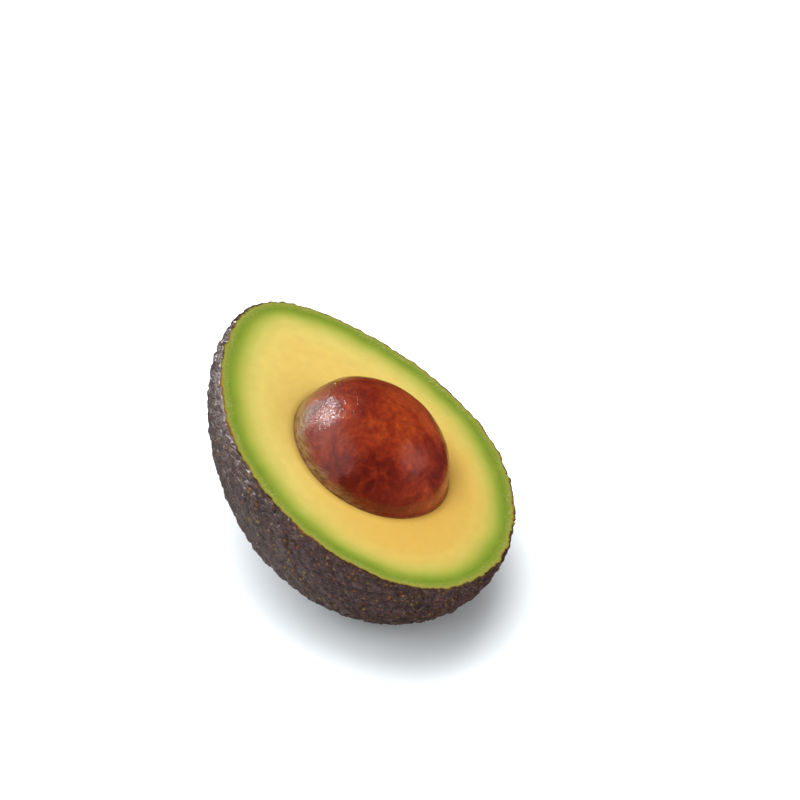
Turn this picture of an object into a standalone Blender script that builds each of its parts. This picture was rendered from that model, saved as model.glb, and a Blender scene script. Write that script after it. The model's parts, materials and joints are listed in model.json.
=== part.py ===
"""Half an avocado, cut lengthwise, with its stone still in it.

The half lies on its rounded back, as it would on a table, on a small spot that its own
weight has pressed flat. Four pieces: the pebbled skin, the flesh, the papery seed coat
that lines the hollow, and the stone. Metres, +Z up, narrow (stem) end towards -X.
The origin is on the table, under the middle of the object's box.
"""

import math
import random

import bmesh
import bpy
from mathutils import Euler, Vector

# Fruit, measured on the cut face, skin included
HALF_LENGTH = 0.0475
HALF_WIDTH = 0.0318
DEPTH = 0.0324
TAPER = 0.131  # how much the narrow end thins and the blunt end fills out
ROUNDING = -0.064  # fills the middle and draws both ends in
SHOULDER = 0.007
BEND = 0.0020  # both tips lean this far to one side
BULGE = 0.030  # the back swells by this share just below the cut
BULGE_LEAN = 0.5  # and by this much more at the narrow end, or less at the blunt end

# How the half lies: rolled to the side, with the blunt end lower
ROLL = math.radians(-17.5)
PITCH = math.radians(9.5)
FLAT_DEPTH = 0.0012  # how far the resting spot is pressed in

# Skin, with pebbles a little larger than life
SKIN_THICKNESS = 0.0018
PEBBLE_HEIGHT = 0.0006
PEBBLE_HEIGHT_SPREAD = 0.35  # each pebble is up to this much lower or higher
PEBBLE_SEED = 4

# Stone, which stands out of the cut face
STONE_CENTRE = Vector((0.0041, -0.0003, -0.0014))
STONE_RADII = Vector((0.0211, 0.0183, 0.0170))
STONE_TAPER = 0.045  # its own blunt end matches the fruit's

# Seed coat: a cup round the buried half, with a torn flap that still clings to the stone
COAT_THICKNESS = 0.0006
COAT_RIM = -0.0008  # height of its edge against the cut face, where it is hidden
COAT_FLAP_HEIGHT = 0.0048
COAT_FLAP_MIDDLE = math.radians(253)
COAT_FLAP_HALF_WIDTH = math.radians(75)
COAT_TEARS = ((7, 0.16, 0.0), (13, 0.10, 1.0))  # times round, share of the flap, phase

GAP = 0.0003  # between one piece and the next

# Facets: the skin starts from a sphere of even triangles, the rest from rings and rows
SKIN_SUBDIVISIONS = 3
SKIN_CUTS = 5
INNER_STEPS = (60, 10)  # steps round, and rows from the rim to the bottom
STONE_STEPS = (40, 10)
ON_RIM = 1e-4  # a unit sphere's points this near its equator are on the rim


def clear_scene():
    for old in list(bpy.data.objects):
        bpy.data.objects.remove(old)


def width_factor(x):
    """Width of the fruit against a plain ellipsoid, at x from -1 (stem) to 1 (blunt end)."""
    return 1 + TAPER * x + ROUNDING * (2 * x * x - 1) + SHOULDER * (4 * x**3 - 3 * x)


def bulge_factor(unit):
    """How far the back swells at this point, most at a quarter of its depth."""
    deep = abs(unit.z)
    return 1 + BULGE * (1 - BULGE_LEAN * unit.x) * deep * (1 - deep) ** 3 * 256 / 27


def fruit_point(unit, inset):
    """A point of the unit sphere, moved to the fruit's surface or this far inside it."""
    wide = width_factor(unit.x)
    full = bulge_factor(unit)
    return Vector(
        (
            (HALF_LENGTH - inset) * full * unit.x,
            (HALF_WIDTH - inset) * full * wide * unit.y - BEND * unit.x**2,
            (DEPTH - inset) * wide * unit.z,
        )
    )


def stone_point(unit, outset):
    """A point of the unit sphere, moved to the stone's surface or this far outside it."""
    radii = STONE_RADII + Vector((outset, outset, outset))
    wide = 1 + STONE_TAPER * unit.x
    shaped = Vector((radii.x * unit.x, radii.y * wide * unit.y, radii.z * wide * unit.z))
    return STONE_CENTRE + shaped


def azimuth(point):
    return math.atan2(point.y, point.x)


def climb(unit, rim_angle):
    """Stretches the lower half of the unit sphere upwards, so that its rim is at this angle."""
    angle = math.asin(max(-1.0, min(1.0, unit.z)))
    angle = (angle + math.pi / 2) * (1 + rim_angle / (math.pi / 2)) - math.pi / 2
    level = Vector((math.cos(azimuth(unit)), math.sin(azimuth(unit)), 0))
    return level * math.cos(angle) + Vector((0, 0, math.sin(angle)))


def coat_point(unit, outset):
    """A point of the seed coat, whose rim rises into the flap and is torn along its edge."""
    turn = azimuth(unit)
    away = (turn - COAT_FLAP_MIDDLE + math.pi) % (2 * math.pi) - math.pi
    share = 0.0
    if abs(away) < COAT_FLAP_HALF_WIDTH:
        share = math.cos(away / COAT_FLAP_HALF_WIDTH * math.pi / 2) ** 1.5
    tear = 1 + sum(size * math.sin(times * turn + phase) for times, size, phase in COAT_TEARS)
    height = COAT_RIM + COAT_FLAP_HEIGHT * share * tear
    rim_angle = math.asin((height - STONE_CENTRE.z) / STONE_RADII.z)
    return stone_point(climb(unit, rim_angle), outset)


def hollow_point(unit):
    """A point of the hollow round the stone and its coat, which ends at the cut face."""
    outset = COAT_THICKNESS + 2 * GAP
    rim_angle = math.asin(-STONE_CENTRE.z / (STONE_RADII.z + outset))
    place = stone_point(climb(unit, rim_angle), outset)
    if abs(unit.z) < ON_RIM:
        place.z = 0
    return place


def keep_bowl(bm, verts, place):
    """Keeps the lower half of a unit sphere, moved by place. Returns its points and its rim."""
    kept = [vert for vert in verts if vert.co.z <= ON_RIM]
    bmesh.ops.delete(bm, geom=[vert for vert in verts if vert.co.z > ON_RIM], context="VERTS")
    for vert in kept:
        unit = vert.co.normalized()
        if abs(unit.z) < ON_RIM:
            unit = Vector((unit.x, unit.y, 0)).normalized()
        vert.co = place(unit)
    return kept, [vert for vert in kept if vert.is_boundary]


def add_bowl(bm, steps, place):
    """Adds a bowl made of rings and rows."""
    around, down = steps
    made = bmesh.ops.create_uvsphere(bm, u_segments=around, v_segments=2 * down, radius=1)
    return keep_bowl(bm, made["verts"], place)


def add_even_bowl(bm, subdivisions, cuts, place):
    """Adds a bowl made of triangles of much the same size."""
    bmesh.ops.create_icosphere(bm, subdivisions=subdivisions, radius=1)
    bmesh.ops.subdivide_edges(bm, edges=bm.edges[:], cuts=cuts, use_grid_fill=True)
    return keep_bowl(bm, bm.verts[:], place)


def join_rims(bm, *rims):
    """Fills the level ring between two rims, which both go once round the Z axis."""
    rims = [sorted(rim, key=lambda vert: azimuth(vert.co)) for rim in rims]
    at = [0, 0]

    def corner(side, ahead=0):
        return rims[side][(at[side] + ahead) % len(rims[side])]

    def next_turn(side):
        if at[side] == len(rims[side]):
            return math.inf
        whole_turns = (at[side] + 1) // len(rims[side])
        return azimuth(corner(side, 1).co) + 2 * math.pi * whole_turns

    while any(at[side] < len(rims[side]) for side in (0, 1)):
        side = 0 if next_turn(0) < next_turn(1) else 1
        bm.faces.new((corner(side), corner(side, 1), corner(1 - side)))
        at[side] += 1


def raise_pebbles(bm, verts):
    """Raises a pebble at every point that has no pebble beside it yet, in a random order."""
    draw = random.Random(PEBBLE_SEED)
    order = list(verts)
    draw.shuffle(order)
    bm.normal_update()
    normals = {vert: vert.normal.copy() for vert in order}
    raised = set()
    for vert in order:
        if any(edge.other_vert(vert) in raised for edge in vert.link_edges):
            continue
        raised.add(vert)
        normal = normals[vert]
        if vert.is_boundary:
            normal = Vector((normal.x, normal.y, 0)).normalized()
        spread = draw.uniform(-PEBBLE_HEIGHT_SPREAD, PEBBLE_HEIGHT_SPREAD)
        vert.co += normal * PEBBLE_HEIGHT * (1 + spread)


def resting_plane(verts):
    """A point and the outward normal of the table, in the cut face's own frame."""
    down = Euler((ROLL, PITCH, 0)).to_matrix().transposed() @ Vector((0, 0, -1))
    lowest = max(down.dot(vert.co) for vert in verts)
    return down * (lowest - FLAT_DEPTH), down


def press_flat(bm, plane):
    """Cuts the skin level where it meets the table, and closes the cut."""
    point, normal = plane
    cut = bmesh.ops.bisect_plane(
        bm,
        geom=bm.verts[:] + bm.edges[:] + bm.faces[:],
        dist=1e-6,
        plane_co=point,
        plane_no=normal,
        clear_outer=True,
    )
    spot = [item for item in cut["geom_cut"] if isinstance(item, bmesh.types.BMEdge)]
    bmesh.ops.holes_fill(bm, edges=spot, sides=len(spot))


def plain_material(name, colour, roughness):
    material = bpy.data.materials.new(name)
    material.use_nodes = True
    shader = material.node_tree.nodes["Principled BSDF"]
    shader.inputs["Base Color"].default_value = (*colour, 1)
    shader.inputs["Roughness"].default_value = roughness
    shader.inputs["Metallic"].default_value = 0
    return material


def add_object(name, bm, material, carrier):
    bmesh.ops.recalc_face_normals(bm, faces=bm.faces[:])
    mesh = bpy.data.meshes.new(name)
    bm.to_mesh(mesh)
    bm.free()
    mesh.shade_smooth()
    mesh.set_sharp_from_angle(angle=math.radians(50))
    mesh.materials.append(material)
    piece = bpy.data.objects.new(name, mesh)
    bpy.context.scene.collection.objects.link(piece)
    piece.parent = carrier
    return piece


def make_skin(carrier):
    bm = bmesh.new()
    outer, rim = add_even_bowl(
        bm, SKIN_SUBDIVISIONS, SKIN_CUTS, lambda unit: fruit_point(unit, 0)
    )
    plane = resting_plane(outer)
    raise_pebbles(bm, outer)
    press_flat(bm, plane)
    _, inner_rim = add_bowl(bm, INNER_STEPS, lambda unit: fruit_point(unit, SKIN_THICKNESS))
    join_rims(bm, rim, inner_rim)
    return add_object("skin", bm, plain_material("skin", (0.045, 0.028, 0.026), 0.55), carrier)


def make_flesh(carrier):
    bm = bmesh.new()
    _, rim = add_bowl(bm, INNER_STEPS, lambda unit: fruit_point(unit, SKIN_THICKNESS + GAP))
    _, hollow_rim = add_bowl(bm, STONE_STEPS, hollow_point)
    join_rims(bm, rim, hollow_rim)
    return add_object("flesh", bm, plain_material("flesh", (0.80, 0.66, 0.16), 0.40), carrier)


def make_seed_coat(carrier):
    bm = bmesh.new()
    _, inner_rim = add_bowl(bm, STONE_STEPS, lambda unit: coat_point(unit, GAP))
    _, rim = add_bowl(bm, STONE_STEPS, lambda unit: coat_point(unit, GAP + COAT_THICKNESS))
    join_rims(bm, inner_rim, rim)
    coat = plain_material("seed_coat", (0.36, 0.20, 0.09), 0.60)
    return add_object("seed_coat", bm, coat, carrier)


def make_stone(carrier):
    bm = bmesh.new()
    around, down = STONE_STEPS
    made = bmesh.ops.create_uvsphere(bm, u_segments=around, v_segments=2 * down, radius=1)
    for vert in made["verts"]:
        vert.co = stone_point(vert.co.normalized(), 0)
    return add_object("stone", bm, plain_material("stone", (0.20, 0.035, 0.015), 0.22), carrier)


def set_down(carrier, pieces):
    """Puts the tilted half on the table, with the origin under the middle of its box."""
    bpy.context.view_layer.update()
    corners = [piece.matrix_world @ vert.co for piece in pieces for vert in piece.data.vertices]
    low = [min(corner[axis] for corner in corners) for axis in range(3)]
    high = [max(corner[axis] for corner in corners) for axis in range(3)]
    carrier.location = (-(low[0] + high[0]) / 2, -(low[1] + high[1]) / 2, -low[2])


def main():
    clear_scene()
    cut_face = bpy.data.objects.new("cut_face", None)
    bpy.context.scene.collection.objects.link(cut_face)
    cut_face.rotation_euler = (ROLL, PITCH, 0)
    makers = (make_skin, make_flesh, make_seed_coat, make_stone)
    set_down(cut_face, [make(cut_face) for make in makers])


main()
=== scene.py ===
# Half an avocado with its stone, lying on a white table: shapes, finishes, light, camera.
import json
import math

import bpy
import numpy as np
from mathutils import Euler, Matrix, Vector, noise
from mathutils.kdtree import KDTree

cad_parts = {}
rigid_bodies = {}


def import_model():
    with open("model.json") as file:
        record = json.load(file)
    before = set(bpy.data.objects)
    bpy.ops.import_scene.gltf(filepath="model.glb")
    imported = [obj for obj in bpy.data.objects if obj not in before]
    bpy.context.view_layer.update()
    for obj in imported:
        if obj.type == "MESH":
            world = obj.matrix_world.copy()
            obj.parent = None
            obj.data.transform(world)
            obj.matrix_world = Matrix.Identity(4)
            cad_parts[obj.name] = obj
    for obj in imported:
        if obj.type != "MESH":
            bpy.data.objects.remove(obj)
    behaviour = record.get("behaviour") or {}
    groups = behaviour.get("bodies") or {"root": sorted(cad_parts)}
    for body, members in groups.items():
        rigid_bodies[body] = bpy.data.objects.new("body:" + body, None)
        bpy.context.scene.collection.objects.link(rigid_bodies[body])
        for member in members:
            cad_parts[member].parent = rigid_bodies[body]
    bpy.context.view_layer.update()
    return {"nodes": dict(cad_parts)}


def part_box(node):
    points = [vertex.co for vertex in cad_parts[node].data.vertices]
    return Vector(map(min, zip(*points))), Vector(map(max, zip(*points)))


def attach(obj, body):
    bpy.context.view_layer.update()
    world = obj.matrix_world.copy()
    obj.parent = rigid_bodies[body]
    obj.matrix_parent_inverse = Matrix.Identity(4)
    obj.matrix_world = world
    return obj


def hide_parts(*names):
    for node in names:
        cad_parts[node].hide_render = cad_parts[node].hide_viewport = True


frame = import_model()
bpy.ops.object.select_all(action="DESELECT")
noise.seed_set(7)  # without a seed, noise_vector would change from run to run
print("frame loaded:", sorted(frame["nodes"]))

mm = 0.001
fullTurn = 2 * math.pi

# The fruit's own form in mm: cut face level at z = 0, stem end towards -x, as the CAD has it
fruit = dict(
    halfLength=47.5, halfWidth=31.8, depth=32.4,
    taper=0.131, rounding=-0.064, shoulder=0.007, bend=2.0,
    bulge=0.030, bulgeLean=0.5,  # how far the back swells below the cut, and more so at the stem end
    roll=-17.5, pitch=9.5,  # degrees, how the half lies
)


def rgb(code):  # an sRGB hex value, as the linear colour that a shader takes
    parts = [int(code[i:i + 2], 16) / 255 for i in (1, 3, 5)]
    return [c / 12.92 if c <= 0.04045 else ((c + 0.055) / 1.055) ** 2.4 for c in parts] + [1.0]


def noiseOver(points, size, shift=0.0):  # smooth noise from -1 to 1, with features this many mm wide
    return np.array([noise.noise(Vector(spot)) for spot in points / size + shift])


def smooth(low, high, value):  # 0 below low, 1 above high, with soft ends
    share = np.clip((value - low) / (high - low), 0, 1)
    return share * share * (3 - 2 * share)


def unitPoints(turn, climb):  # points of a unit sphere, from the angle round it and the angle up
    level = np.cos(climb)
    return np.stack([level * np.cos(turn), level * np.sin(turn), np.sin(climb)], axis=1)


def fruitPoints(units, inset):  # the fruit's surface, or a surface this far inside it
    x, y, z = units.T
    wide = 1 + fruit["taper"] * x + fruit["rounding"] * (2 * x * x - 1)
    wide = wide + fruit["shoulder"] * (4 * x**3 - 3 * x)
    deep = np.abs(z)  # 27 / 256 is the largest value that deep * (1 - deep) ** 3 can have
    full = 1 + fruit["bulge"] * (1 - fruit["bulgeLean"] * x) * deep * (1 - deep) ** 3 * 256 / 27
    return np.stack([
        (fruit["halfLength"] - inset) * x * full,
        (fruit["halfWidth"] - inset) * wide * y * full - fruit["bend"] * x * x,
        (fruit["depth"] - inset) * wide * z,
    ], axis=1)


def outward(units, radii):  # which way an ellipsoid's surface faces
    facing = units / np.array(radii)
    return facing / np.linalg.norm(facing, axis=1, keepdims=True)


def stonePoints(units, outset):  # the stone's surface, or a surface this far outside it
    radii = np.array(stone["radii"]) + np.reshape(outset, (-1, 1))
    wide = 1 + stone["taper"] * units[:, :1]
    return stone["centre"] + radii * units * np.hstack([np.ones_like(wide), wide, wide])


def stoneClimb(height, outset):  # the angle up the stone at which it is this high above the cut face
    return np.arcsin(np.clip((height - stone["centre"][2]) / (stone["radii"][2] + outset), -1, 1))


stone = dict(
    centre=(4.1, -0.3, -1.4), radii=(21.1, 18.3, 17.0), taper=0.045,
    subdivisions=7, cadAround=40, cadRows=21,
    lump=0.28, lumpSize=8.0, lumpDown=0.1, dent=0.07, dentSize=2.6,
    wrinkle=0.035, wrinkleSize=0.9, wrinkleLeast=0.2,
    # round the stone and up it, in degrees, and how far: its wrinkled patch, a dark one, and a bright one at
    # its top and right that is partly its own orange and partly painted light
    shrivelAt=(215, 52), shrivelReach=(12, 50),
    duskAt=(322, 15), duskReach=(8, 46), dawnAt=(100, 58), dawnReach=(12, 66), dawn=0.9,
)
lie = np.array(Euler((math.radians(fruit["roll"]), math.radians(fruit["pitch"]), 0)).to_matrix())


def findFace():  # the middle of the cut face in mm, from the box of the stone in the frame
    around = np.arange(stone["cadAround"]) / stone["cadAround"] * fullTurn
    up = np.linspace(-math.pi / 2, math.pi / 2, stone["cadRows"])
    around, up = [grid.ravel() for grid in np.meshgrid(around, up)]
    turned = stonePoints(unitPoints(around, up), 0) @ lie.T
    low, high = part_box("stone")
    return np.array((low + high) / 2) / mm - (turned.min(0) + turned.max(0)) / 2


faceMiddle = findFace()
print("cut face's middle, mm:", faceMiddle.round(2))


def rolledSheet(name, around, rows):  # a flat grid to roll up: its columns go round, its rows go up
    bpy.ops.mesh.primitive_grid_add(x_subdivisions=around, y_subdivisions=rows - 1, size=2)
    piece = bpy.context.active_object
    piece.name = piece.data.name = name
    spots = np.empty(len(piece.data.vertices) * 3)
    piece.data.vertices.foreach_get("co", spots)
    spots = (spots.reshape(-1, 3) + 1) / 2
    return piece, spots[:, 0] * fullTurn, np.rint(spots[:, 1] * (rows - 1)).astype(int)


def setPoints(piece, points):  # turns the cut face's mm into the frame's metres, none below the table
    world = (points @ lie.T + faceMiddle) * mm
    world[:, 2] = np.maximum(world[:, 2], 0)
    piece.data.vertices.foreach_set("co", world.astype(np.float32).ravel())
    piece.data.update()


def setValues(piece, **values):  # numbers that the piece's material reads
    for name, value in values.items():
        layer = piece.data.attributes.new(name, "FLOAT", "POINT")
        layer.data.foreach_set("value", value.astype(np.float32))


def closeSheet(piece):  # welds the rolled sheet along its seam and at its poles
    bpy.ops.object.mode_set(mode="EDIT")
    bpy.ops.mesh.select_all(action="SELECT")
    bpy.ops.mesh.remove_doubles(threshold=0.005 * mm)
    bpy.ops.mesh.normals_make_consistent(inside=False)
    bpy.ops.object.mode_set(mode="OBJECT")


def finishPiece(piece, node, material):
    piece.data.shade_smooth()
    piece.data.materials.append(material)
    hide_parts(node)
    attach(piece, "root")
    piece.select_set(False)
    print(piece.name, "has", len(piece.data.polygons), "faces")


def fillInputs(tree, node, inputs):  # each input gets its link or its own value
    for key, value in inputs.items():
        if isinstance(value, bpy.types.NodeSocket):
            tree.links.new(value, node.inputs[key])
        else:
            node.inputs[key].default_value = value


def addNode(tree, kind, inputs=None, stops=None, **settings):  # a node with its settings and its links
    node = tree.nodes.new("ShaderNode" + kind)
    for name, value in settings.items():
        setattr(node, name, value)
    fillInputs(tree, node, inputs or {})
    if stops:
        ends = node.color_ramp.elements
        ends.remove(ends[1])  # the ramp's own white end
        ends[0].position = stops[0][0]
        for place, colour in stops[1:]:
            ends.new(place)
        for end, (place, colour) in zip(ends, stops):
            end.color = rgb(colour)
    return node


def newMaterial(name):
    material = bpy.data.materials.new(name)
    material.use_nodes = True
    tree = material.node_tree
    spot = addNode(tree, "TexCoord").outputs["Object"]
    return material, tree, tree.nodes["Principled BSDF"], spot


def readValue(tree, name):  # a number that setValues gave to the piece
    return addNode(tree, "Attribute", attribute_name=name).outputs["Fac"]


def mathOf(tree, operation, *values):
    return addNode(tree, "Math", dict(enumerate(values)), operation=operation).outputs[0]


def ranged(tree, value, low, high, start=0.0, end=1.0):  # goes from start to end between low and high
    return addNode(tree, "MapRange", {"Value": value, 1: low, 2: high, 3: start, 4: end}).outputs[0]


def cloudy(tree, spot, size, detail, output="Fac", **inputs):  # noise with features this many mm wide
    inputs.update({"Vector": spot, "Scale": 1 / (size * mm), "Detail": detail})
    return addNode(tree, "TexNoise", inputs).outputs[output]


def uneven(tree, spot, size, reach):  # the place, pushed about by noise, both in mm
    stray = cloudy(tree, spot, size, 2.0, "Color")
    return addNode(tree, "VectorMath", {0: stray, 1: (reach * mm,) * 3, 2: spot},
                   operation="MULTIPLY_ADD").outputs[0]


def hueBy(tree, value, *stops):
    return addNode(tree, "ValToRGB", {"Fac": value}, stops=stops).outputs["Color"]


def laidOver(tree, colour, *layers):  # a colour under others, each with its share
    for share, upper in layers:
        upper = rgb(upper) if isinstance(upper, str) else upper
        colour = addNode(tree, "Mix", {0: share, 6: colour, 7: upper}, data_type="RGBA").outputs[2]
    return colour


def bumps(tree, *layers):  # each layer: its height, its strength and its depth in mm
    under = {}
    for height, strength, depth in layers:
        inputs = {"Height": height, "Strength": strength, "Distance": depth * mm}
        under = {"Normal": addNode(tree, "Bump", {**inputs, **under}).outputs[0]}
    return under["Normal"]


crumbColour = "#CCCA7C"


def crumbsOver(tree, spot, depth):  # where the knife left pale crumbs, by the depth below the skin in mm
    grains = addNode(tree, "TexVoronoi", {"Vector": uneven(tree, spot, 0.5, 0.35), "Scale": 1 / (0.75 * mm)})
    crumb = ranged(tree, grains.outputs["Distance"], 0.22, 0.42, 1.0, 0.0)
    ring = mathOf(tree, "MULTIPLY", ranged(tree, depth, 0.6, 1.0), ranged(tree, depth, 1.4, 2.8, 1.0, 0.0))
    patch = ranged(tree, cloudy(tree, spot, 6, 2.0), 0.42, 0.60, 0.0, 0.7)
    return mathOf(tree, "MULTIPLY", crumb, mathOf(tree, "MULTIPLY", ring, patch))


# Rind: a tough waxy skin, dark purple-brown when ripe, lumpy all over
skin = dict(
    around=600, outerRows=130, innerRows=8,
    lump=2.7, lumpStretch=1.5, lumpFoot=0.75, lumpHeight=0.56, heightLeast=0.75, heightVaries=0.7,
    warp=1.1, warpSize=3.1, swell=0.26, swellSize=5.2, swellUp=0.35, ridge=0.30, ridgeSize=1.4,
    ragged=0.06, raggedSize=0.9, raggedFade=(0.4, 1.2), innerDrop=0.5,
    # the cut edge from the outside in: depth below the surface, height against the cut face
    edge=((0, -0.22), (0.08, -0.06), (0.30, 0.02), (0.75, 0.04),
          (1.25, 0.02), (1.70, 0), (2.0, -0.015), (2.3, -0.04), (2.5, -0.08), (2.55, -0.5)),
)


def rindRelief(points):  # height in mm, and how far up its own lump each point is, from 0 to 1
    flat = points / np.array([skin["lumpStretch"], 1, 1])
    shove = np.array([noise.noise_vector(Vector(spot)) for spot in flat / skin["warpSize"]])
    spots = (flat + skin["warp"] * shove) / skin["lump"]
    cells = [noise.voronoi(Vector(spot)) for spot in spots]
    apart = np.array([cell[0][1] - cell[0][0] for cell in cells])
    own = np.array([noise.noise(cell[1][0] * 5.3) for cell in cells])
    dome = 1 - (1 - np.clip(apart / skin["lumpFoot"], 0, 1)) ** 2
    ridge = (1 - np.abs(noiseOver(flat, skin["ridgeSize"], 9.1))) ** 3
    swell = noiseOver(points, skin["swellSize"], 3.7)
    height = skin["lumpHeight"] * dome * (skin["heightLeast"] + skin["heightVaries"] * own)
    height = height + skin["ridge"] * ridge * (0.4 + 0.6 * dome)
    return height + skin["swell"] * (swell + skin["swellUp"]), dome * (0.6 + 0.4 * ridge)


def makeSkin(material):
    edge = np.array(skin["edge"])
    first, last = skin["outerRows"], skin["outerRows"] + len(edge)
    piece, turn, row = rolledSheet("avocado_rind", skin["around"], last + skin["innerRows"])
    place = np.clip(row - first, 0, len(edge) - 1)
    inset = np.where(row < first, 0, edge[place, 0])
    climb = np.where(row < first, row / first - 1, 0)
    climb = np.where(row >= last, -(row - last + 1) / skin["innerRows"], climb) * math.pi / 2
    units = unitPoints(turn, climb)
    points = fruitPoints(units, inset)
    shown = row < last
    relief, dome = np.zeros(len(row)), np.zeros(len(row))
    relief[shown], dome[shown] = rindRelief(fruitPoints(units[shown], 0))
    fade = np.where(shown, 1 - inset / edge[-1, 0], 0)
    radii = (fruit["halfLength"], fruit["halfWidth"], fruit["depth"])
    points += outward(units, radii) * (relief * fade)[:, None]
    onEdge = shown & (row >= first)
    points[onEdge, 2] += edge[place[onEdge], 1]
    ragged = skin["ragged"] * (1 - smooth(*skin["raggedFade"], inset[onEdge]))
    points[onEdge, 2] += ragged * noiseOver(points[onEdge], skin["raggedSize"], 5.5)
    points[row == last, 2] -= skin["innerDrop"]
    setPoints(piece, points)
    setValues(piece, rindDepth=inset, lump=dome)
    closeSheet(piece)
    finishPiece(piece, "skin", material)


def rindMaterial():
    # Waxy rind: dull between the lumps, a satin shine on their tops, dotted with corky pores.
    # Its cut edge shows a rust-brown line, then the olive layer under the skin.
    material, tree, shader, spot = newMaterial("waxy_avocado_rind")
    patches = cloudy(tree, spot, 12, 4.0)
    raised = mathOf(tree, "MULTIPLY", readValue(tree, "lump"), cloudy(tree, spot, 0.6, 4.0))
    long = addNode(tree, "Mapping", {"Vector": spot, "Scale": (0.38, 1, 1)}).outputs[0]
    wrinkles = cloudy(tree, long, 1.15, 3.0, Roughness=0.5, Distortion=0.6)
    fromMiddle = mathOf(tree, "ABSOLUTE", mathOf(tree, "SUBTRACT", wrinkles, 0.5))
    strands = cloudy(tree, long, 0.5, 2.0, Distortion=0.8)
    hue = hueBy(tree, patches, (0.32, "#48392A"), (0.45, "#4C3631"), (0.58, "#533B39"), (0.72, "#5E4644"))
    outside = laidOver(
        tree, hue,
        (ranged(tree, raised, 0.12, 0.50, 0.0, 0.5), "#785F5A"),  # painted sheen: lighter tops of the lumps
        (ranged(tree, wrinkles, 0.30, 0.50, 0.85, 0.0), "#22161A"),  # painted shade in the grooves
        (ranged(tree, fromMiddle, 0.0, 0.03, 0.65, 0.0), "#24181A"),  # painted shade: thin dark lines in the grooves
        (ranged(tree, strands, 0.54, 0.70, 0.0, 0.6), "#846E6A"))  # painted sheen: pale streaks along the rind

    # corky pores: irregular dots, olive to rust, each in a brown halo
    bent = uneven(tree, spot, 0.7, 0.8)
    for spacing, size, missing, ends in ((1.7, 0.30, 0.45, ("#98602E", "#988A3E")),
                                         (1.2, 0.26, 0.40, ("#7C4222", "#A86E2E"))):
        pores = addNode(tree, "TexVoronoi", {"Vector": bent, "Scale": 1 / (spacing * mm)})
        draw = addNode(tree, "SeparateColor", {"Color": pores.outputs["Color"]}).outputs
        there = mathOf(tree, "GREATER_THAN", draw["Red"], missing)
        poreHue = hueBy(tree, draw["Green"], (0.0, ends[0]), (1.0, ends[1]))
        for reach, strength, colour in ((1.7, 0.5, "#4A2818"), (1.0, 0.8, poreHue)):
            dot = ranged(tree, pores.outputs["Distance"], size * reach * 0.4, size * reach, strength, 0.0)
            outside = laidOver(tree, outside, (mathOf(tree, "MULTIPLY", dot, there), colour))

    depth = readValue(tree, "rindDepth")
    wobbly = mathOf(tree, "MULTIPLY_ADD", cloudy(tree, spot, 1.1, 4.0), 0.8, depth)
    layers = hueBy(tree, ranged(tree, wobbly, 0.3, 2.3), (0.0, "#2E1A14"), (0.15, "#4E3018"),
                   (0.21, "#857428"), (0.29, "#A39C42"), (0.50, "#A5A646"), (0.64, "#92A23A"),
                   (1.0, "#8AA034"))
    dried = mathOf(tree, "MULTIPLY", ranged(tree, patches, 0.55, 0.65, 0.0, 0.6),
                 ranged(tree, wobbly, 0.7, 1.2, 1.0, 0.0))
    crumbs = crumbsOver(tree, spot, depth)
    cutEdge = laidOver(tree, layers, (dried, "#95522A"), (crumbs, crumbColour))
    onSkin = ranged(tree, depth, 0.0, 0.25, 1.0, 0.08)
    normal = bumps(tree, (wrinkles, onSkin, 0.8), (strands, onSkin, 0.25), (crumbs, 0.7, 0.12))
    fillInputs(tree, shader, {
        "Base Color": laidOver(tree, outside, (mathOf(tree, "GREATER_THAN", depth, 0.04), cutEdge)),
        "Roughness": ranged(tree, raised, 0.1, 0.5, 0.34, 0.20),
        "IOR": 1.45,  # plant wax
        "Coat Weight": 0.6,  # its polished tops
        "Coat Roughness": 0.16,
        "Normal": normal, "Coat Normal": normal,
    })
    return material


# Flesh: soft, oily and smooth from the knife, green under the skin and yellow round the stone
flesh = dict(
    around=420, wallRows=12, faceRows=70, hollowRows=12, edgeSteps=1440, wall=2.0, border=1.62, hollow=0.29,
    lip=((1.95, -0.6), (1.55, -0.12)),  # depth below the skin's surface, height
    hollowEase=1.8,  # its rows stand closer near the rim
    swell=0.14, swellSize=13.0, swellFade=(1.8, 6), grain=0.02, grainSize=0.8,
    sink=0.05, sinkFade=(1.6, 2.2), dip=0.10, dipWidth=0.9,
    wallDepth=3.0, hollowDepth=14.0,  # what stands for the depth below the skin where the face isn't
    golden=(-12, 30), goldenLean=0.6,  # where along the fruit it turns a deeper gold: partly the flesh's own tone, partly painted shade on that side
    smearAt=70, smearWidth=24, smearOut=1.8, smearDepth=2.6,  # degrees, then mm: a brown patch on the flesh beside the stone
)


def faceRelief(points, fromSkin, fromStone):  # height of the cut face in mm
    height = flesh["swell"] * noiseOver(points, flesh["swellSize"], 2.2)
    height = height * smooth(*flesh["swellFade"], fromSkin)
    height += flesh["grain"] * noiseOver(points, flesh["grainSize"], 6.1)
    height -= flesh["sink"] * (1 - smooth(*flesh["sinkFade"], fromSkin))
    return height - flesh["dip"] * np.exp(-fromStone / flesh["dipWidth"])


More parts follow.
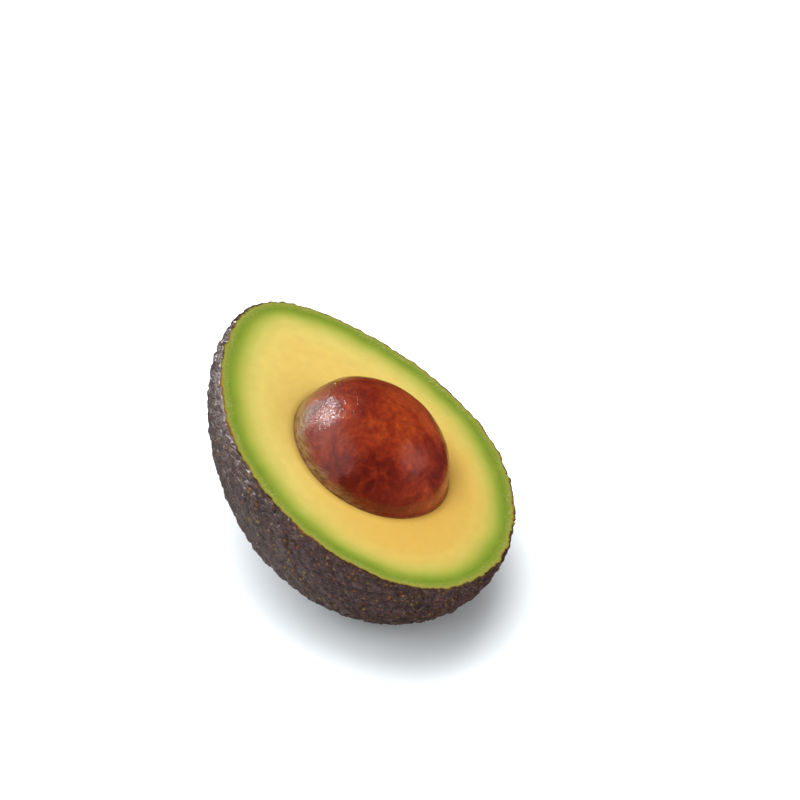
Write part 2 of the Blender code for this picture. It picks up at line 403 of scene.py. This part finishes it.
def makeFlesh(material):
    lip = np.array(flesh["lip"])
    first = flesh["wallRows"]
    second = first + len(lip)
    third = second + flesh["faceRows"]
    piece, turn, row = rolledSheet("avocado_flesh", flesh["around"], third + flesh["hollowRows"])
    level = np.zeros_like(turn)
    place = np.clip(row - first, 0, len(lip) - 1)
    inset = np.where(row < first, flesh["wall"], lip[place, 0])
    climb = np.where(row < first, (row / first - 1) * math.pi / 2, 0)
    points = fruitPoints(unitPoints(turn, climb), inset)
    onLip = (row >= first) & (row < second)
    points[onLip, 2] += lip[place[onLip], 1]

    hollowRim = stoneClimb(0, flesh["hollow"])
    outline = fruitPoints(unitPoints(turn, level), flesh["border"])
    rim = stonePoints(unitPoints(turn, level + hollowRim), flesh["hollow"])
    share = np.clip((row - second) / (flesh["faceRows"] - 1), 0, 1)[:, None]
    face = outline * (1 - share) + rim * share
    face[:, 2] = 0
    onFace = (row >= second) & (row < third)
    points[onFace] = face[onFace]

    down = np.clip((row - third + 1) / flesh["hollowRows"], 0, 1) ** flesh["hollowEase"]
    hollow = stonePoints(unitPoints(turn, hollowRim - down * (math.pi / 2 + hollowRim)), flesh["hollow"])
    points[row >= third] = hollow[row >= third]

    edge = KDTree(flesh["edgeSteps"])
    around = np.arange(flesh["edgeSteps"]) / flesh["edgeSteps"] * fullTurn
    for i, spot in enumerate(fruitPoints(unitPoints(around, around * 0), 0)):
        edge.insert(Vector(spot), i)
    edge.balance()
    fromSkin = np.full(len(row), flesh["wallDepth"])
    fromSkin[onFace] = [edge.find(Vector(spot))[2] for spot in points[onFace]]
    fromSkin[row >= third] = flesh["hollowDepth"]
    fromStone = np.linalg.norm(face - rim, axis=1)
    points[onFace, 2] += faceRelief(points[onFace], fromSkin[onFace], fromStone[onFace])
    setPoints(piece, points)
    golden = smooth(*flesh["golden"], points[:, 0] + flesh["goldenLean"] * points[:, 1])
    turned = (np.degrees(turn) - flesh["smearAt"]) / flesh["smearWidth"]
    smear = np.exp(-turned**2) * np.exp(-((fromStone - flesh["smearOut"]) / flesh["smearDepth"]) ** 2)
    setValues(piece, fromSkin=fromSkin, fromStone=fromStone, golden=golden, smear=smear)
    closeSheet(piece)
    finishPiece(piece, "flesh", material)


def fleshMaterial():
    # Buttery ripe flesh: moist, so a soft shine, with light going a little way in
    material, tree, shader, spot = newMaterial("ripe_avocado_flesh")
    depth = readValue(tree, "fromSkin")
    shifted = mathOf(tree, "MULTIPLY_ADD", cloudy(tree, spot, 9, 3.0), 2.2, depth)
    bands = hueBy(tree, ranged(tree, shifted, 2.4, 16.0), (0.0, "#7C962C"), (0.07, "#819C2E"),
                  (0.16, "#9AAE3C"), (0.27, "#BFC254"), (0.42, "#E0D36C"), (0.62, "#F2D975"),
                  (1.0, "#F6D470"))
    inner = ranged(tree, shifted, 5.0, 12.0, 0.0, 0.44)
    crumbs = crumbsOver(tree, spot, depth)
    colour = laidOver(
        tree, bands,
        (ranged(tree, cloudy(tree, spot, 3.0, 4.0), 0.35, 0.7, 0.0, 0.15), "#C9A43C"),  # flecks
        # deeper gold towards one side: partly the flesh's own tone, partly painted shade
        (mathOf(tree, "MULTIPLY", readValue(tree, "golden"), inner), "#E6AA3C"),
        (ranged(tree, readValue(tree, "fromStone"), 0.0, 1.8, 0.6, 0.0), "#C4903E"),  # painted shade where the flesh meets the stone
        # a brown patch on the flesh beside the stone, on its right
        (ranged(tree, readValue(tree, "smear"), 0.0, 1.0, 0.0, 0.45), "#B08238"),
        (crumbs, crumbColour))
    fillInputs(tree, shader, {
        "Base Color": colour,
        "Roughness": 0.46,
        "IOR": 1.42,  # watery flesh with oil in it
        "Subsurface Weight": 0.35,
        "Subsurface Radius": (1.0, 0.8, 0.25),
        "Subsurface Scale": 1.6 * mm,
        "Normal": bumps(tree, (cloudy(tree, spot, 0.6, 4.0), 0.25, 0.12), (crumbs, 0.7, 0.12)),
    })
    return material


# Stone: a big seed in its own thin coat
def patchOver(units, middle, reach):  # 1 at the middle of a patch of the stone, 0 outside it
    middle = unitPoints(*np.radians(middle).reshape(2, 1))[0]
    return 1 - smooth(*reach, np.degrees(np.arccos(np.clip(units @ middle, -1, 1))))


def stoneRelief(units):  # height in mm over the plain form, then how wrinkled the coat is, and how much darker or lighter it is painted: partly its own clouding, partly painted light on its top and right
    points = stonePoints(units, 0)
    shrivel = patchOver(units, stone["shrivelAt"], stone["shrivelReach"])
    relief = stone["lump"] * (noiseOver(points, stone["lumpSize"], 1.3) - stone["lumpDown"])
    relief += stone["dent"] * noiseOver(points, stone["dentSize"], 7.9)
    crease = 1 - np.abs(noiseOver(points, stone["wrinkleSize"], 5.2)) * 2
    relief += stone["wrinkle"] * crease * (stone["wrinkleLeast"] + shrivel)
    dawn = stone["dawn"] * patchOver(units, stone["dawnAt"], stone["dawnReach"])
    return relief, shrivel, patchOver(units, stone["duskAt"], stone["duskReach"]) - dawn


def makeStone(material):
    bpy.ops.mesh.primitive_ico_sphere_add(subdivisions=stone["subdivisions"], radius=1)
    piece = bpy.context.active_object
    piece.name = piece.data.name = "avocado_stone"
    units = np.empty(len(piece.data.vertices) * 3)
    piece.data.vertices.foreach_get("co", units)
    units = units.reshape(-1, 3)
    units /= np.linalg.norm(units, axis=1, keepdims=True)
    relief, shrivel, dusk = stoneRelief(units)
    points = stonePoints(units, 0) + outward(units, stone["radii"]) * relief[:, None]
    setPoints(piece, points)
    setValues(piece, shrivel=shrivel, dusk=dusk)
    finishPiece(piece, "stone", material)


def stoneColour(tree, spot):  # mahogany red with orange and dark clouds and fine dark mottling
    clouds = cloudy(tree, spot, 9, 6.0, Roughness=0.6, Distortion=0.8)
    # darker in a patch low on the stone, lighter at its top and right: partly its own clouding, partly
    # painted light
    darker = mathOf(tree, "MULTIPLY_ADD", readValue(tree, "dusk"), -0.15, clouds)
    hue = hueBy(tree, darker, (0.28, "#50120A"), (0.40, "#781F0F"), (0.52, "#9C3216"), (0.68, "#BE4C1C"))
    mottle = cloudy(tree, spot, 1.2, 6.0, Roughness=0.7)
    return laidOver(tree, hue, (ranged(tree, mottle, 0.40, 0.66, 0.0, 0.6), "#641608"))


def wetShine(tree, spot, shader):  # dull under a film of juice, with crisp wrinkles where it has shrivelled
    wrinkles = cloudy(tree, spot, 0.65, 3.0, Roughness=0.5, Distortion=1.2)
    strength = ranged(tree, readValue(tree, "shrivel"), 0.0, 1.0, 0.35, 1.0)
    normal = bumps(tree, (wrinkles, strength, 0.15), (cloudy(tree, spot, 0.45, 1.0), 0.5, 0.018))
    fillInputs(tree, shader, {
        "Roughness": 0.50,
        "Specular IOR Level": 0.2,
        "Coat Weight": 0.8,  # the juice
        "Coat Roughness": 0.08,
        "Normal": normal, "Coat Normal": normal,
    })


def stoneMaterial():
    # The stone's own coat, wet and glossy
    material, tree, shader, spot = newMaterial("wet_avocado_stone")
    fillInputs(tree, shader, {"Base Color": stoneColour(tree, spot), "IOR": 1.45})
    wetShine(tree, spot, shader)
    return material


# Seed coat: the papery film between the stone and the flesh, torn where the other half came away
coat = dict(
    around=360, cupRows=10, filmRows=30, innerRows=14, outside=0.30, film=0.20, inside=-0.10, below=-0.6,
    # how high it clings to the stone above the cut, in mm, by the angle round it in degrees
    torn=((10, 0.5), (38, 0.5), (50, 0.8), (62, 2.0), (70, 9.0), (80, 14.2), (105, 14.2), (130, 10.0),
          (165, 4.0), (200, 6.0), (243, 7.0), (272, 4.6), (300, 3.8), (318, 2.4), (335, 1.0)),
    shown=0.87, dive=0.06,  # the share of its height at which it dips under the stone, and how far
    tear=0.5, tearSize=1.6, crease=0.04, creaseSize=0.8,
    # where it thins and dips, by the share of its height, and where the cup ends and the stone's relief
    # begins, by the height in mm
    thinFade=(0.1, 0.95), diveFade=(0.82, 1.0), cupFade=(-0.35, 0.7), reliefFade=(-0.6, 0.2),
    innerEase=1.5,  # the inside's rows stand closer near the edge
)


def coatTop(turn):  # how high the film's torn edge stands above the cut face
    angles, heights = np.array(coat["torn"]).T
    top = np.interp(np.degrees(turn), angles, heights, period=360)
    ring = stonePoints(unitPoints(turn, turn * 0), 0)
    tear = noiseOver(ring, coat["tearSize"], 0.4) + 0.5 * noiseOver(ring, coat["tearSize"] / 3, 2.4)
    return top + coat["tear"] * tear * np.clip(top / 2, 0.15, 1)


def makeCoat(material):
    first, second = coat["cupRows"], coat["cupRows"] + coat["filmRows"]
    piece, turn, row = rolledSheet("stone_seed_coat", coat["around"], second + coat["innerRows"])
    top = coatTop(turn)
    brim = stoneClimb(coat["below"], coat["outside"])
    share = np.clip((row - first) / (coat["filmRows"] - 1), 0, 1)
    height = coat["below"] + (top - coat["below"]) * share
    thin = coat["film"] * (1 - smooth(*coat["thinFade"], share))
    thin = thin - coat["dive"] * smooth(*coat["diveFade"], share)
    outset = coat["outside"] + (thin - coat["outside"]) * smooth(*coat["cupFade"], height)
    climb = stoneClimb(height, outset)
    climb = np.where(row < first, -math.pi / 2 + row / first * (math.pi / 2 + brim), climb)
    outset = np.where(row < first, coat["outside"], outset)
    back = np.clip((row - second + 1) / coat["innerRows"], 0, 1) ** coat["innerEase"]
    topClimb = stoneClimb(top, coat["inside"])
    climb = np.where(row >= second, topClimb - back * (math.pi / 2 + topClimb), climb)
    outset = np.where(row >= second, coat["inside"], outset)
    units = unitPoints(turn, climb)
    points = stonePoints(units, outset)
    relief, shrivel, dusk = stoneRelief(units)
    relief *= smooth(*coat["reliefFade"], height)
    relief += coat["crease"] * noiseOver(points, coat["creaseSize"], 3.3) * (row < second) * (1 - share)
    points += outward(units, stone["radii"]) * relief[:, None]
    setPoints(piece, points)
    shownTop = coat["below"] + (top - coat["below"]) * coat["shown"]
    setValues(piece, filmHeight=height, filmEdge=shownTop - height, shrivel=shrivel, dusk=dusk)
    closeSheet(piece)
    finishPiece(piece, "seed_coat", material)


def coatMaterial():
    # Wet tan film, so thin at its torn edge that the red stone shows through, with brown streaks
    material, tree, shader, spot = newMaterial("wet_papery_seed_coat")
    upright = addNode(tree, "Mapping", {"Vector": spot, "Scale": (0.3, 0.3, 1.4)}).outputs[0]
    hue = hueBy(tree, cloudy(tree, upright, 0.9, 5.0), (0.32, "#653A22"), (0.45, "#8A5C38"),
                (0.58, "#A87E50"), (0.72, "#8A6040"))
    clouds = cloudy(tree, upright, 1.3, 5.0, Roughness=0.65)
    thick = mathOf(tree, "MULTIPLY_ADD", clouds, 5.0, readValue(tree, "filmEdge"))
    colour = laidOver(
        tree, hue,
        (ranged(tree, thick, 2.7, 5.4, 1.0, 0.0), stoneColour(tree, spot)),
        (ranged(tree, readValue(tree, "filmHeight"), -0.3, 0.5, 0.5, 0.0), "#765428"))  # darker at the flesh
    fillInputs(tree, shader, {"Base Color": colour, "IOR": 1.47})  # cellulose
    wetShine(tree, spot, shader)
    return material


makeSkin(rindMaterial())
makeFlesh(fleshMaterial())
makeStone(stoneMaterial())
makeCoat(coatMaterial())

# A table of white acrylic, which runs past the view on every side
floor = dict(size=6.0, colour="#F4F5F5", roughness=0.9)
bpy.ops.mesh.primitive_plane_add(size=floor["size"])
table = bpy.context.active_object
table.name = table.data.name = "light_table"
white, tree, shader, spot = newMaterial("white_acrylic")
fillInputs(tree, shader, {"Base Color": rgb(floor["colour"]), "Roughness": floor["roughness"]})
table.data.materials.append(white)
table.visible_glossy = False

# Soft boxes: where each stands from the cut face's middle, in m, its size, its power, and whether it
# lights things, shines on their gloss or does both. Two are for one thing only: the gleam is the
# white table as the rind mirrors it, and the one over the table keeps it white.
softBoxes = dict(
    glint=dict(at=(-0.50, -0.10, 0.32), size=(0.05, 0.05), power=1.15, does="shine"),
    glintTwo=dict(at=(-0.48, -0.25, 0.29), size=(0.05, 0.05), power=0.95, does="shine"),
    low=dict(at=(-0.60, -0.24, 0.06), size=(0.30, 0.08), power=0.6, does="shine"),
    gleam=dict(at=(-0.45, -0.62, -0.62), size=(1.1, 1.1), power=1.3, does="shine", only="avocado_rind"),
    wall=dict(at=(-0.25, -0.85, 0.65), size=(1.3, 1.0), power=3.4, does="shine"),
    front=dict(at=(-0.55, -0.75, 0.38), size=(1.0, 0.8), power=3.2, does="light"),
    side=dict(at=(0.62, 0.95, 0.56), size=(0.80, 0.80), power=1.5, does="both"),
    right=dict(at=(0.80, 0.62, 0.45), size=(0.60, 0.60), power=3.0, does="light"),
    top=dict(at=(-0.05, -0.05, 0.95), size=(0.70, 0.70), power=6.2, does="light"),
    over=dict(at=(-0.20, -0.36, 0.92), size=(2.25, 2.25), power=30.0, does="light", only="light_table",
              colour="#EEF5FA"),
)
middle = Vector(faceMiddle) * mm
for name, box in softBoxes.items():
    lamp = bpy.data.lights.new(name + "_soft_box", "AREA")
    lamp.shape, lamp.energy = "RECTANGLE", box["power"]
    lamp.size, lamp.size_y = box["size"]
    lamp.color = rgb(box.get("colour", "#FFFFFF"))[:3]
    holder = bpy.data.objects.new(name + "_soft_box", lamp)
    holder.location = middle + Vector(box["at"])
    holder.rotation_euler = (-Vector(box["at"])).to_track_quat("-Z", "Y").to_euler()
    holder.visible_camera = False
    holder.visible_glossy = box["does"] != "light"
    holder.visible_diffuse = box["does"] != "shine"
    if "only" in box:
        alone = bpy.data.collections.new(box["only"] + "_alone")
        alone.objects.link(bpy.data.objects[box["only"]])
        holder.light_linking.receiver_collection = alone
        if box["does"] == "shine":
            holder.light_linking.blocker_collection = alone
    bpy.context.scene.collection.objects.link(holder)

walls = dict(colour="#EDF4FA", strength=0.26)
room = bpy.data.worlds.new("white_room")
room.use_nodes = True
room.node_tree.nodes["Background"].inputs["Color"].default_value = rgb(walls["colour"])
room.node_tree.nodes["Background"].inputs["Strength"].default_value = walls["strength"]
room.cycles_visibility.glossy = False
bpy.context.scene.world = room
bpy.context.scene.view_settings.view_transform = "Standard"

# The camera: from the cut face's middle to its lens and to its aim, in m, and its focal length in mm
view = dict(at=(0.6152, -0.2977, 0.5857), aim=(-0.0016, 0.0103, 0.0072), lens=173.4)
camera = bpy.data.cameras.new("camera")
camera.lens, camera.sensor_width, camera.clip_end = view["lens"], 36.0, 20.0
tripod = bpy.data.objects.new("camera", camera)
tripod.location = middle + Vector(view["at"])
tripod.rotation_euler = (Vector(view["aim"]) - Vector(view["at"])).to_track_quat("-Z", "Y").to_euler()
bpy.context.scene.collection.objects.link(tripod)
bpy.context.scene.camera = tripod
print("light and camera set")
